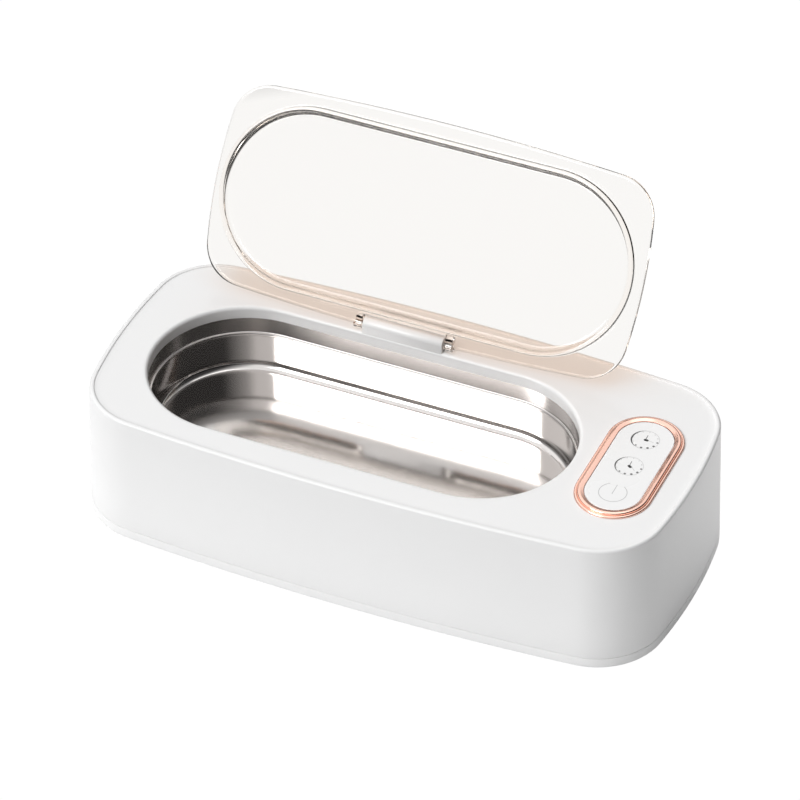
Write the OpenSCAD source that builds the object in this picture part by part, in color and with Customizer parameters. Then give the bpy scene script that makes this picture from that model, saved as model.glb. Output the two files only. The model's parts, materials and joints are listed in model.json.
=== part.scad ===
// Ultrasonic cleaner for rings, chains and spectacles: a small bath with a hinged clear lid.
// It is drawn at rest, with the lid open.
// Millimetres, +Z up, front towards -Y, control panel at the +X end.
// The body is drawn about its own centre; in_frame() puts the origin under the middle of the open model.

/* [Body] */
// Length of the body at the rim
body_l = 208; // [204:1:214]
// Width of the body at the rim
body_w = 99; // [96:0.1:102]
// Height of the rim above the table
body_h = 50.7; // [50:0.1:54]
// Radius of the body's four corners
body_corner = 23.4; // [18:0.1:26]
// Rise of the bowed long sides
side_bow = 5.4; // [3:0.1:7]
// Rise of the bowed ends
end_bow = 6.4; // [4:0.1:8]
// How far the walls flare out from rim to base
flare = 0.9; // [0:0.05:2]
// Thickness of the moulded walls
wall = 2.4; // [2:0.1:3]
// Height of the band of the base cover that shows below the housing
base_h = 3.9; // [3:0.1:6]
// How far the feet lift the base
foot_h = 1; // [0.5:0.1:2]

/* [Bath] */
// Half of the straight length of the bath
bath_half = 42.8; // [40:0.1:44]
// Radius of the opening in the deck
bath_r = 32.7; // [32:0.1:33]
// Depth of the bath's floor below the deck
bath_depth = 25.2; // [20:0.1:28]
// Depth of the white collar inside the opening
collar_h = 4.8; // [4:0.1:6]
// Thickness of the drawn steel
tank_t = 0.6; // [0.4:0.1:1]

/* [Lid] */
// Length of the lid
lid_l = 155.6; // [154:0.1:158]
// Width of the lid from hinge edge to front edge
lid_w = 73.6; // [72:0.1:75]
// Radius of the lid's corners
lid_corner = 14.2; // [12:0.1:18]
// Thickness of the lid's plate
lid_t = 2.8; // [2:0.1:3]
// Angle that the lid turns through from open to closed
lid_travel = 121; // [100:1:125]
// Height of the lid's rib below the plate
rib_h = 2.4; // [1.5:0.1:4]

/* [Hinge] */
// Length of the fixed hinge block
block_l = 29.3; // [24:0.1:34]
// Height of the hinge axis above the deck
axis_h = 2.4; // [2.3:0.1:3]
// Radius of the steel hinge pins
pin_r = 0.8; // [0.6:0.05:1]
// Radial running clearance of the pins in the lid
pin_gap = 0.05; // [0.02:0.01:0.1]

/* [Control panel] */
// Half of the straight length of the panel
panel_half = 13.6; // [12:0.1:14]
// Radius of the white panel
panel_r = 10; // [9:0.1:11]
// Outer radius of the plated ring
ring_r = 13.5; // [12.5:0.1:14]

/* [Hidden] */

$fn = 96;
eps = 0.01;

// Steps along half an end, round a corner and along half a side of a bowed outline
end_steps = 7;
corner_steps = 10;
side_steps = 10;

// Outlines: length, width, corner radius, rise of the ends, rise of the sides
BODY = [body_l, body_w, body_corner, end_bow, side_bow];
LID = [lid_l, lid_w, lid_corner, 3.7, 3];

// Levels
base_floor_t = 2.4;
split_z = foot_h + base_h;
deck_z = body_h - 0.5;
deck_t = 2.6;
collar_z = deck_z - collar_h;
collar_t = 2.4;
rim_w = 1.75;
rim_round = 1;
bottom_round = 1;

// Bath and tank
bath = [-13.6, -3.4];
tank_top_r = bath_r - 0.5;
tank_wall_r = bath_r - 0.9;
tank_round = 3.2;
tank_floor_z = deck_z - bath_depth;
gasket_t = 0.8;
flange_z = collar_z - gasket_t;
flange_r = bath_r + 2.9;
tank_screw_r = flange_r + 2;
tank_screw_l = 5;
TANK_SCREWS = concat(
  [for (x = [-30, 30], s = [-1, 1]) bath + [x, s * tank_screw_r]],
  [for (s = [-1, 1]) bath + [s * (bath_half + tank_screw_r), 0]]
);
transducer_r = 22.5;
transducer_t = 2.8;
transducer_z = tank_floor_z - tank_t - transducer_t;

// Hinge
axis_y = 32;
axis_z = deck_z + axis_h;
block_r = 2.4;
lug_r = 2.1;
lug_w = 2.6;
lug_gap = 0.35;
lug_heel = 2.05;
lug_web = 3.9;
notch_gap = 0.45;
pin_hold = 7;

// Lid, closed
lid_gap = 0.3;
lid_z = deck_z + lid_gap;
lid_at = [bath[0] + 0.8, axis_y + 0.9 - lid_w / 2];
rib_half = 43.15;
rib_r = bath_r - 1.1;
rib_at = bath + [0.45, -0.6];
rib_t = 1.8;

// Control panel
panel = [81, -0.8];
panel_top = deck_z + 0.95;
pocket_z = deck_z - 1.4;
ring_bore = panel_r + 0.1;
key_y = [13.4, -1.1, -15.6];

// Base, feet and screws
screw_at = [85, 34.6];
foot_at = [72, 33];
foot_r = 5.5;
foot_sink = 1;
screw_r = 1.45;
screw_head_r = 2.8;
screw_seat_z = foot_h + 2.4;
boss_r = 3.6;
base_boss_h = 4.4;

// Driver board and what it carries
board = [30, -30];
board_size = [66, 56];
board_z = foot_h + base_floor_t + 4.6;
board_t = 1.6;
board_top = board_z + board_t;
BOARD_SCREWS = [for (x = [4, board_size[0] - 4], y = [4, board_size[1] - 4]) board + [x, y]];
board_screw_r = 1.2;
connector_size = [8, 6, 7];
LEAD_PLUG = [33, -5];
MAINS_PLUG = [66, 17.5];
CABLE_PLUG = [86.5, -26.5];
cable_start_y = -19.5;

// Mains inlet, with its face in the back wall
inlet = [72, 20];
inlet_half = 4.3;
inlet_r = 4.2;
inlet_shell = 1.5;
inlet_back_y = 30;
inlet_face_y = 46.6;
inlet_depth = 13;
inlet_pin_r = 1.18;
inlet_pin_l = 10.5;
inlet_root_r = 1.5;
mains_wire_r = 0.9;

// Control board, hung under the panel
control_z = 42.2;
control_t = 1.2;
control_size = [20, 44];
CONTROL_SCREWS = [for (s = [-1, 1]) panel + [0, s * 19.4]];
spring_r = 2.2;
spring_wire = 0.3;
under_panel_z = pocket_z - 1.2;

function arc_r(half_chord, rise) = (half_chord * half_chord + rise * rise) / (2 * rise);
function unit(v) = v / norm(v);
function along(angle) = [cos(angle), sin(angle)];
function cubic(p, t) =
  pow(1 - t, 3) * p[0] + 3 * t * pow(1 - t, 2) * p[1] + 3 * t * t * (1 - t) * p[2] + pow(t, 3) * p[3];
function curve(p, steps = 16) = [for (i = [0:steps]) cubic(p, i / steps)];

// Origin under the middle of the model as it stands, with the lid open
lean = 180 - lid_travel;
lid_back_y = axis_y + (lid_w - 0.9) * cos(lean) + (lid_gap + lid_t - axis_h) * sin(lean);
front_y = -body_w / 2 - flare;
module in_frame() {
  translate([0, -(front_y + lid_back_y) / 2, 0]) children();
}

// Outline with bowed sides and round corners, inset from its full size. One quarter runs from the middle of
// the right end, round the corner, to the middle of the long side, and the other three mirror it.
module bowed(shape, inset = 0) {
  half = [shape[0] / 2, shape[1] / 2];
  corner = shape[2];
  end_r = arc_r(half[1], shape[3]);
  side_r = arc_r(half[0], shape[4]);
  side_c = [0, half[1] - side_r];
  end_c = [half[0] - end_r, 0];
  // the corner's centre lies at known distances from the centres of the side and of the end
  a = side_r - corner;
  b = end_r - corner;
  d = norm(end_c - side_c);
  q = (a * a - b * b + d * d) / (2 * d);
  u = unit(end_c - side_c);
  c = side_c + q * u + sqrt(a * a - q * q) * [u[1], -u[0]];
  to_end = atan2(c[1] - end_c[1], c[0] - end_c[0]);
  to_side = atan2(c[1] - side_c[1], c[0] - side_c[0]);
  quarter = concat(
    [for (i = [0.5:end_steps]) end_c + (end_r - inset) * along(to_end * i / end_steps)],
    [for (i = [0:corner_steps])
      c + (corner - inset) * along(to_end + (to_side - to_end) * i / corner_steps)],
    [for (i = [0.5:side_steps])
      side_c + (side_r - inset) * along(to_side + (90 - to_side) * i / side_steps)]
  );
  last = len(quarter) - 1;
  polygon([for (k = [0:3], i = [0:last])
    let (p = quarter[k % 2 == 0 ? i : last - i])
    [(k == 1 || k == 2 ? -1 : 1) * p[0], (k > 1 ? -1 : 1) * p[1]]]);
}

// A thin slice of the body's outline at height z
module slice(z, inset) {
  translate([0, 0, z]) linear_extrude(eps) bowed(BODY, inset);
}

module stadium(half, r) {
  square([2 * half, 2 * r], center = true);
  for (s = [-1, 1]) translate([s * half, 0]) circle(r = r);
}

// Sweeps a profile round a stadium: the profile's X is the distance from the stadium's centre line
module stadium_sweep(half) {
  for (s = [-1, 1]) {
    translate([s * half, 0, 0]) rotate([0, 0, -90 * s]) rotate_extrude(angle = 180) children();
    translate([-s * half, 0, 0]) rotate([90, 0, 90 * s]) linear_extrude(2 * half) children();
  }
}

// A wire along a list of points, with its rings turned about the side direction
module wire(path, r, side = [0, 0, 1], n = 8) {
  last = len(path) - 1;
  rings = [for (i = [0:last])
    let (
      dir = unit(path[min(i + 1, last)] - path[max(i - 1, 0)]),
      x = unit(cross(side, dir)),
      y = cross(dir, x)
    )
    for (k = [0:n - 1]) path[i] + r * (cos(360 * k / n) * x + sin(360 * k / n) * y)];
  sides = [for (i = [0:last - 1], k = [0:n - 1])
    [i * n + k, i * n + (k + 1) % n, (i + 1) * n + (k + 1) % n, (i + 1) * n + k]];
  ends = [[for (k = [n - 1:-1:0]) k], [for (k = [0:n - 1]) last * n + k]];
  polyhedron(rings, [for (f = concat(sides, ends)) [for (j = [len(f) - 1:-1:0]) f[j]]]);
}

module at_corners(p) {
  for (x = [-1, 1], y = [-1, 1]) translate([x * p[0], y * p[1], 0]) children();
}

// Runs a profile drawn in Y and Z along X, from and to being distances from the middle of the hinge
module along_hinge(from, to) {
  translate([bath[0] + from, axis_y, axis_z]) rotate([90, 0, 90]) linear_extrude(to - from) children();
}

module both_hinge_ends() {
  for (s = [0, 1]) translate([2 * s * bath[0], 0, 0]) mirror([s, 0, 0]) children();
}

// White moulded housing: walls, rim, deck, collar round the bath, hinge block and screw bosses
module housing_skin() {
  hull() {
    slice(split_z + 0.2, -flare);
    slice(body_h - rim_round, 0);
    slice(body_h - 0.3 * rim_round, 0.3 * rim_round);
    slice(body_h - eps, rim_round);
  }
}

module housing_inside() {
  hull() {
    slice(split_z - 1, wall - flare);
    slice(deck_z - deck_t, wall);
  }
}

module housing_bosses() {
  at_corners(screw_at) translate([0, 0, foot_h + base_boss_h + 0.1])
    cylinder(r = boss_r, h = deck_z - 1 - foot_h - base_boss_h);
  for (p = TANK_SCREWS) translate([p[0], p[1], flange_z])
    cylinder(r = 2.3, h = deck_z - 1 - flange_z);
  for (p = CONTROL_SCREWS) translate([p[0], p[1], control_z + control_t])
    cylinder(r = 2.6, h = under_panel_z + 0.2 - control_z - control_t);
  translate([panel[0], panel[1], under_panel_z]) rotate(90)
    linear_extrude(deck_z - 1 - under_panel_z) stadium(panel_half, ring_r + 1.6);
}

module hinge_block() {
  along_hinge(-block_l / 2, block_l / 2) {
    circle(r = block_r);
    translate([-block_r, -axis_h - 1]) square([2 * block_r, axis_h + 1]);
  }
}

module housing() {
  color("white") difference() {
    union() {
      difference() {
        housing_skin();
        housing_inside();
      }
      translate([bath[0], bath[1], collar_z]) linear_extrude(collar_h - 1)
        stadium(bath_half, bath_r + collar_t);
      housing_bosses();
      hinge_block();
    }
    difference() {
      translate([0, 0, deck_z]) linear_extrude(body_h) bowed(BODY, rim_w);
      hinge_block();
    }
    translate([bath[0], bath[1], 0]) linear_extrude(body_h) stadium(bath_half, bath_r);
    translate([panel[0], panel[1], pocket_z]) rotate(90) linear_extrude(5) stadium(panel_half, ring_r);
    both_hinge_ends() along_hinge(block_l / 2 - pin_hold, block_l / 2 + 1) circle(r = pin_r);
    at_corners(screw_at) translate([0, 0, foot_h]) cylinder(r = screw_r, h = 17);
    for (p = TANK_SCREWS) translate([p[0], p[1], flange_z - 1]) cylinder(r = 1, h = tank_screw_l);
    for (p = CONTROL_SCREWS) translate([p[0], p[1], control_z]) cylinder(r = 1, h = 4.6);
    translate([inlet[0], 0, inlet[1]]) rotate([-90, 0, 0])
      linear_extrude(body_w) stadium(inlet_half, inlet_r + inlet_shell);
  }
}

// White base cover with its locating lip, board posts and screw seats
module base_cover() {
  color("white") difference() {
    union() {
      difference() {
        for (a = [15:30:75]) translate([0, 0, foot_h + bottom_round * (1 - cos(a - 15))])
          linear_extrude(base_h - bottom_round * (1 - cos(a - 15)))
            bowed(BODY, bottom_round * (1 - sin(a)) - flare);
        translate([0, 0, foot_h + base_floor_t]) linear_extrude(base_h) bowed(BODY, wall - flare + 0.25);
      }
      translate([0, 0, foot_h + 1]) linear_extrude(base_h + 1) difference() {
        bowed(BODY, wall - flare + 0.25);
        bowed(BODY, wall - flare + 1.65);
      }
      at_corners(screw_at) translate([0, 0, foot_h]) cylinder(r = boss_r + 0.9, h = base_boss_h);
      for (p = BOARD_SCREWS) translate([p[0], p[1], foot_h + 1])
        cylinder(r = 2.6, h = board_z - foot_h - 1);
    }
    at_corners(screw_at) {
      translate([0, 0, foot_h - 1]) cylinder(r = screw_head_r + 0.4, h = screw_seat_z - foot_h + 1);
      cylinder(r = screw_r + 0.25, h = split_z + 3);
    }
    at_corners(foot_at) cylinder(r = foot_r, h = foot_h + foot_sink);
    for (p = BOARD_SCREWS) translate([p[0], p[1], foot_h + base_floor_t])
      cylinder(r = board_screw_r, h = 8);
  }
}

module rubber_feet() {
  color("dimgray") at_corners(foot_at) rotate_extrude() polygon([
    [0, 0], [foot_r - 1, 0], [foot_r - 0.3, 0.3], [foot_r - 0.1, foot_h],
    [foot_r, foot_h], [foot_r, foot_h + foot_sink], [0, foot_h + foot_sink],
  ]);
}

// Pan head with a cross recess, pointing up from its seat at z = 0
module pan_screw(r, length, head_r, head_h) {
  difference() {
    union() {
      cylinder(r = r, h = length);
      rotate_extrude() polygon([
        [0, 0], [head_r, 0], [head_r, -0.5 * head_h], [0.8 * head_r, -0.85 * head_h],
        [0.5 * head_r, -head_h], [0, -head_h],
      ]);
    }
    for (a = [0, 90]) rotate(a) translate([-0.55 * head_r, -0.12 * head_r, -head_h - 1])
      cube([1.1 * head_r, 0.24 * head_r, 1 + 0.55 * head_h]);
  }
}

module base_screws() {
  color("silver") at_corners(screw_at) translate([0, 0, screw_seat_z])
    pan_screw(screw_r, 12, screw_head_r, 2);
}

// Drawn stainless bath with a flat floor, a rounded corner and an outward flange
module tank_profile() {
  wall_in = [for (i = [0:6]) let (a = -90 + 15 * i) [cos(a), sin(a)]];
  corner = [tank_wall_r - tank_round, tank_floor_z + tank_round];
  polygon(concat(
    [[0, tank_floor_z]],
    [for (p = wall_in) corner + tank_round * p],
    [[tank_top_r, flange_z - 0.5], [tank_top_r + 0.5, flange_z], [flange_r, flange_z]],
    [[flange_r, flange_z - tank_t], [tank_top_r + tank_t + 0.3, flange_z - tank_t]],
    [[tank_top_r + tank_t, flange_z - tank_t - 0.4]],
    [for (i = [6:-1:0]) corner + (tank_round + tank_t) * wall_in[i]],
    [[0, tank_floor_z - tank_t]]
  ));
}

module tank() {
  color("lightsteelblue") translate([bath[0], bath[1], 0]) stadium_sweep(bath_half) tank_profile();
}

module tank_gasket() {
  color("whitesmoke") translate([bath[0], bath[1], flange_z]) linear_extrude(gasket_t) difference() {
    stadium(bath_half, flange_r - 0.5);
    stadium(bath_half, bath_r + 0.6);
  }
}

// Washer-head screws whose heads hold the tank's flange up against the gasket
module tank_screws() {
  color("silver") for (p = TANK_SCREWS) translate([p[0], p[1], flange_z - tank_t]) {
    translate([0, 0, -0.8]) cylinder(r = 3.2, h = 0.8);
    translate([0, 0, -0.8]) pan_screw(1, tank_screw_l, 1.9, 1.3);
  }
}

// Ceramic disc that drives the bath, silvered on both faces
module piezo_disc() {
  color("gainsboro") translate([bath[0], bath[1], transducer_z]) rotate_extrude() polygon([
    [0, 0], [transducer_r - 0.3, 0], [transducer_r, 0.3],
    [transducer_r, transducer_t - 0.3], [transducer_r - 0.3, transducer_t], [0, transducer_t],
  ]);
}

module piezo_leads() {
  for (s = [-1, 1]) color(s < 0 ? "crimson" : "black") wire(curve([
    [bath[0] + 14, LEAD_PLUG[1] + 4 * s, transducer_z - 0.8],
    [bath[0] + 24, LEAD_PLUG[1] + 4 * s, transducer_z - 0.8],
    [LEAD_PLUG[0] - 16, LEAD_PLUG[1] + 1.6 * s, board_top + 4],
    [LEAD_PLUG[0] - 0.1, LEAD_PLUG[1] + 1.6 * s, board_top + 4],
  ]), 0.8);
}

// Driver board on four posts of the base cover
module driver_board() {
  color("darkgreen") difference() {
    translate([board[0], board[1], board_z]) cube([board_size[0], board_size[1], board_t]);
    for (p = BOARD_SCREWS) translate([p[0], p[1], 0]) cylinder(r = board_screw_r + 0.3, h = body_h);
  }
}

module board_screws() {
  color("silver") for (p = BOARD_SCREWS) translate([p[0], p[1], board_top]) mirror([0, 0, 1])
    pan_screw(board_screw_r, 5.5, 2.4, 1.6);
}

module on_board(x, y) {
  translate([x, y, board_top]) children();
}

// E cores that close round the winding's middle leg
module transformer_core() {
  color("dimgray") on_board(76, 6) translate([0, 2.75, 0]) rotate([90, 0, 0]) linear_extrude(5.5)
    difference() {
      translate([-10, 0]) square([20, 17]);
      for (s = [-1, 1]) translate([s * 5, 8.5]) square([4.8, 12], center = true);
    }
}

module transformer_winding() {
  color("goldenrod") on_board(76, 6) difference() {
    union() {
      translate([-7.2, -8, 2.7]) cube([14.4, 16, 1]);
      translate([-6.6, -7.4, 3.6]) cube([13.2, 14.8, 9.8]);
      translate([-7.2, -8, 13.3]) cube([14.4, 16, 1]);
    }
    translate([-2.6, -2.75, 2]) cube([5.2, 5.5, 14]);
  }
}

// Toroidal choke standing on its edge
module choke_core() {
  color("darkolivegreen") on_board(74, -20) translate([0, 0, 8]) rotate([90, 0, 0]) rotate_extrude()
    translate([5.4, 0]) square([3, 4.4], center = true);
}

module choke_winding() {
  color("chocolate") on_board(74, -20) translate([0, 0, 8]) rotate([90, 0, 0])
    for (i = [0:10]) rotate(30 * i + 120) translate([5.4, 0, 0]) rotate([90, 0, 0])
      linear_extrude(1, center = true) difference() {
        square([5, 6.4], center = true);
        square([3.3, 4.6], center = true);
      }
}

module bulk_capacitor() {
  color("midnightblue") on_board(89, -9) rotate_extrude() polygon([
    [0, 0], [4.6, 0], [5, 0.4], [5, 1.8], [4.7, 2.1], [4.7, 2.5], [5, 2.8], [5, 19.4], [4.4, 20], [0, 20],
  ]);
}

module film_capacitor() {
  color("gold") on_board(52, 14) hull() {
    translate([-6.5, -3, 0]) cube([13, 6, 10]);
    translate([-6, -2.5, 0]) cube([12, 5, 10.5]);
  }
}

module switching_transistor() {
  color("black") on_board(52, -18) rotate([90, 0, 0]) linear_extrude(4.4) difference() {
    translate([-5, 2]) square([10, 9]);
    translate([0, 9]) circle(r = 1.2);
  }
}

module heat_sink() {
  color("silver") on_board(52, -18) linear_extrude(11.5) {
    translate([-11, 0]) square([22, 1.8]);
    for (i = [0:6]) translate([-11 + 3.5 * i, 0]) square([1, 9]);
  }
}

module fuse() {
  color("saddlebrown") on_board(80, 20) rotate_extrude() polygon([
    [0, 0], [4, 0], [4.2, 0.3], [4.2, 7], [3.6, 7.7], [0, 7.7],
  ]);
}

// Plugs that the leads, the mains wires and the control cable end in
module wire_connectors() {
  color("ivory") {
    on_board(LEAD_PLUG[0], LEAD_PLUG[1] - connector_size[1] / 2) cube(connector_size);
    on_board(MAINS_PLUG[0], MAINS_PLUG[1]) cube(connector_size);
    on_board(CABLE_PLUG[0] - 2.5, CABLE_PLUG[1] - 2.5) cube([5, 5, connector_size[2]]);
  }
}

// Two-pin mains inlet: a shell with a blind socket, closed at the back
module inlet_socket() {
  color("black") translate([inlet[0], 0, inlet[1]]) rotate([-90, 0, 0]) difference() {
    union() {
      translate([0, 0, inlet_back_y]) linear_extrude(inlet_face_y - inlet_back_y)
        stadium(inlet_half, inlet_r + inlet_shell - 0.1);
      translate([0, 0, inlet_face_y - 5.2]) linear_extrude(1.2)
        stadium(inlet_half, inlet_r + inlet_shell + 1.4);
    }
    translate([0, 0, inlet_face_y - inlet_depth]) linear_extrude(inlet_depth + 1)
      stadium(inlet_half, inlet_r);
    for (s = [-1, 1]) translate([s * inlet_half, 0, 0])
      cylinder(r = inlet_root_r, h = inlet_face_y - inlet_depth);
  }
}

// Contact pins with a thicker root, which the shell's back wall holds
module inlet_pins() {
  root = inlet_face_y - inlet_depth - inlet_back_y + 1;
  length = root + inlet_pin_l;
  color("silver") for (s = [-1, 1]) translate([inlet[0] + s * inlet_half, inlet_back_y - 1, inlet[1]])
    rotate([-90, 0, 0]) rotate_extrude() polygon([
      [0, 0], [inlet_root_r, 0], [inlet_root_r, root], [inlet_pin_r, root],
      [inlet_pin_r, length - 0.5], [inlet_pin_r - 0.5, length], [0, length],
    ]);
}

module mains_wires() {
  for (s = [-1, 1]) color(s < 0 ? "saddlebrown" : "royalblue") wire(curve([
    [inlet[0] + s * inlet_half, inlet_back_y - 1.3, inlet[1]],
    [inlet[0] + s * inlet_half, inlet_back_y - 3.5, inlet[1]],
    [MAINS_PLUG[0] + 4 + 1.8 * s, MAINS_PLUG[1] + 9, board_top + 4],
    [MAINS_PLUG[0] + 4 + 1.8 * s, MAINS_PLUG[1] + connector_size[1] + 0.2, board_top + 4],
  ], 12), mains_wire_r, [1, 0, 0]);
}

// White touch panel, glued into its pocket in the deck
module control_panel() {
  color("white") translate([panel[0], panel[1], pocket_z]) rotate(90) {
    linear_extrude(panel_top - pocket_z - 0.2) stadium(panel_half, panel_r);
    translate([0, 0, panel_top - pocket_z - 0.2]) linear_extrude(0.2) stadium(panel_half, panel_r - 0.2);
  }
}

// Plated ring round the panel, with a rounded crown
module panel_ring() {
  crown = (ring_bore + ring_r) / 2;
  half_w = (ring_r - ring_bore) / 2 - 0.05;
  color("lightsalmon") translate([panel[0], panel[1], 0]) rotate(90) stadium_sweep(panel_half)
    polygon(concat(
      [[crown - half_w, pocket_z], [crown - half_w, deck_z + 0.5]],
      [for (i = [0:8]) let (a = 180 - 22.5 * i) [crown + half_w * cos(a), deck_z + 0.5 + 1.2 * sin(a)]],
      [[crown + half_w, deck_z + 0.5], [crown + half_w, pocket_z]]
    ));
}

module control_board() {
  color("darkgreen") difference() {
    translate([panel[0], panel[1], control_z]) linear_extrude(control_t)
      square(control_size, center = true);
    for (p = CONTROL_SCREWS) translate([p[0], p[1], 0]) cylinder(r = 1.3, h = body_h);
  }
}

module control_board_screws() {
  color("silver") for (p = CONTROL_SCREWS) translate([p[0], p[1], control_z]) pan_screw(1, 4.6, 2.1, 1.4);
}

// One coil spring under each key carries the touch to the board
module touch_springs() {
  turns = 4;
  steps = 12;
  low = control_z + control_t + spring_wire;
  rise = under_panel_z - spring_wire - low;
  color("silver") for (y = key_y) wire(
    [for (i = [0:turns * steps]) [
      panel[0] - 4 + spring_r * cos(360 * i / steps),
      y + spring_r * sin(360 * i / steps),
      low + rise * i / (turns * steps)
    ]], spring_wire, n = 5);
}

module key_lights() {
  color("lightyellow") for (y = key_y) translate([panel[0] + 2.5, y - 1.4, control_z + control_t])
    cube([3.5, 2.8, 1.9]);
}

module control_chip() {
  color("black") translate([panel[0] - 5, panel[1] - 3, control_z - 1.6]) cube([10, 6, 1.6]);
}

module control_cable() {
  for (i = [-1, 0, 1]) color(["crimson", "ivory", "black"][i + 1]) wire(curve([
    [CABLE_PLUG[0] + 1.5 * i, cable_start_y, control_z - 0.1],
    [CABLE_PLUG[0] + 1.5 * i, cable_start_y, control_z - 12],
    [CABLE_PLUG[0] + 1.5 * i, CABLE_PLUG[1], board_top + 18],
    [CABLE_PLUG[0] + 1.5 * i, CABLE_PLUG[1], board_top + connector_size[2] + 0.1],
  ], 12), 0.6, [1, 0, 0], 6);
}

// Short steel pins, pressed into the ends of the hinge block
module hinge_pins() {
  color("silver") both_hinge_ends()
    along_hinge(block_l / 2 - pin_hold, block_l / 2 + lug_gap + lug_w - 0.2) circle(r = pin_r);
}

// Lug at one end of the block: its web joins the plate, and its heel meets the deck when the lid is open
module lug_profile() {
  difference() {
    union() {
      circle(r = lug_r);
      rotate(lid_travel) translate([0, -lug_heel]) square(lug_heel);
      translate([-lug_web, lid_gap - axis_h]) square([lug_web, lid_t]);
    }
    circle(r = pin_r + pin_gap);
  }
}

module lid_closed() {
  inner = block_l / 2 + lug_gap;
  difference() {
    union() {
      translate([lid_at[0], lid_at[1], lid_z]) linear_extrude(lid_t) bowed(LID);
      translate([rib_at[0], rib_at[1], lid_z - rib_h]) linear_extrude(rib_h + 1) difference() {
        stadium(rib_half, rib_r);
        stadium(rib_half, rib_r - rib_t);
      }
    }
    // notch for the hinge block and the lugs
    along_hinge(-inner - lug_w, inner + lug_w) translate([-block_r - notch_gap, -10]) square(20);
  }
  both_hinge_ends() along_hinge(inner, inner + lug_w) lug_profile();
}

// Clear lid, turned back to its open position about the hinge
module lid() {
  color("mistyrose", 0.5) translate([0, axis_y, axis_z]) rotate([-lid_travel, 0, 0])
    translate([0, -axis_y, -axis_z]) lid_closed();
}

in_frame() housing();
in_frame() base_cover();
in_frame() rubber_feet();
in_frame() base_screws();
in_frame() tank();
in_frame() tank_gasket();
in_frame() tank_screws();
in_frame() piezo_disc();
in_frame() piezo_leads();
in_frame() driver_board();
in_frame() board_screws();
in_frame() transformer_core();
in_frame() transformer_winding();
in_frame() choke_core();
in_frame() choke_winding();
in_frame() bulk_capacitor();
in_frame() film_capacitor();
in_frame() switching_transistor();
in_frame() heat_sink();
in_frame() fuse();
in_frame() wire_connectors();
in_frame() inlet_socket();
in_frame() inlet_pins();
in_frame() mains_wires();
in_frame() control_panel();
in_frame() panel_ring();
in_frame() control_board();
in_frame() control_board_screws();
in_frame() touch_springs();
in_frame() key_lights();
in_frame() control_chip();
in_frame() control_cable();
in_frame() hinge_pins();
in_frame() lid();
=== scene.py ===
import json
import math

import bmesh
import bpy
from mathutils import Matrix, Vector
from mathutils.geometry import tessellate_polygon


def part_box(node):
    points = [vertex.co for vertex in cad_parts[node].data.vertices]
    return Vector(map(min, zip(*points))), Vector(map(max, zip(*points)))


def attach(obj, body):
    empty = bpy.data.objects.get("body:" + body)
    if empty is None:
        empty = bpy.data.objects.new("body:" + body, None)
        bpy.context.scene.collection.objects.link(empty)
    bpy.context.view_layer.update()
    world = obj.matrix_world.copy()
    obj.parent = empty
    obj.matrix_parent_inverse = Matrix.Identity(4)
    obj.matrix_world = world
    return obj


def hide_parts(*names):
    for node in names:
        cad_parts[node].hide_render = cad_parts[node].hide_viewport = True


# Looks of the ultrasonic cleaner. Shapes are worked out in millimetres in the frame's axes:
# +X towards the control panel, +Y towards the hinge, +Z up. Builder turns them into metres.

MM = 0.001
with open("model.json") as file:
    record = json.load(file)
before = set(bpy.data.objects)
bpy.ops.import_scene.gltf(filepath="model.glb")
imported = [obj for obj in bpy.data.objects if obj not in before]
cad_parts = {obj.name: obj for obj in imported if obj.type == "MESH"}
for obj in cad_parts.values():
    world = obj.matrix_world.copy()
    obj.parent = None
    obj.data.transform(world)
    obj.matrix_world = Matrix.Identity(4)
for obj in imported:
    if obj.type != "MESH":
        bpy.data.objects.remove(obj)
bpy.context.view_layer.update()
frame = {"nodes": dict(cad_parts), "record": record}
record = frame["record"]


# ---------------------------------------------------------------------------------------------
# Sizes, from the frame
# ---------------------------------------------------------------------------------------------

def box_mm(node):
    lo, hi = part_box(node)
    return Vector(lo) / MM, Vector(hi) / MM


housing_lo, housing_hi = box_mm("housing")
ring_lo, ring_hi = box_mm("panel_ring")
tank_lo, tank_hi = box_mm("tank")
base_lo = box_mm("base_cover")[0]
inlet_lo, inlet_hi = box_mm("inlet_socket")
hinge = record["behaviour"]["joints"][0]
HINGE = Vector(hinge["pos_m"]) / MM
LID_TRAVEL = math.radians(hinge["range_deg"][1])

# The walls lean out by FLARE from the rim down to the base
FLARE = 0.9
BODY_C = (housing_lo + housing_hi) / 2
BODY = {
    "l": housing_hi.x - housing_lo.x - 2 * FLARE,
    "w": housing_hi.y - housing_lo.y - 2 * FLARE,
    "corner": 23.4,
    "end_bow": 6.4,
    "side_bow": 5.4,
}
# Levels
RING_PROUD = 1.7
DECK_Z = ring_hi.z - RING_PROUD
RIM_Z = DECK_Z + 0.5
SPLIT_Z = housing_lo.z
# Case
WALL = 2.4
DECK_T = 2.6
# Bath: stadiums along X share BATH_HALF and differ in radius
TANK_FLANGE = 35.6
BATH_C = (tank_lo + tank_hi) / 2
BATH_HALF = (tank_hi.x - tank_lo.x) / 2 - TANK_FLANGE
BATH_R = 32.7
COLLAR_H = 4.8
TANK_T = 0.6
BEAD_DEPTH = 11.2
TANK_FLOOR = tank_lo.z + TANK_T
# Panel: stadiums along Y share PANEL_HALF
PANEL_C = (ring_lo + ring_hi) / 2
RING_R = 13.15
PANEL_R = 9.7
PANEL_HALF = 14.0
PANEL_TOP = DECK_Z + 0.95
KEY_Y = [14.2, -0.3, -14.8]
KEY_R = 4.66
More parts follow.
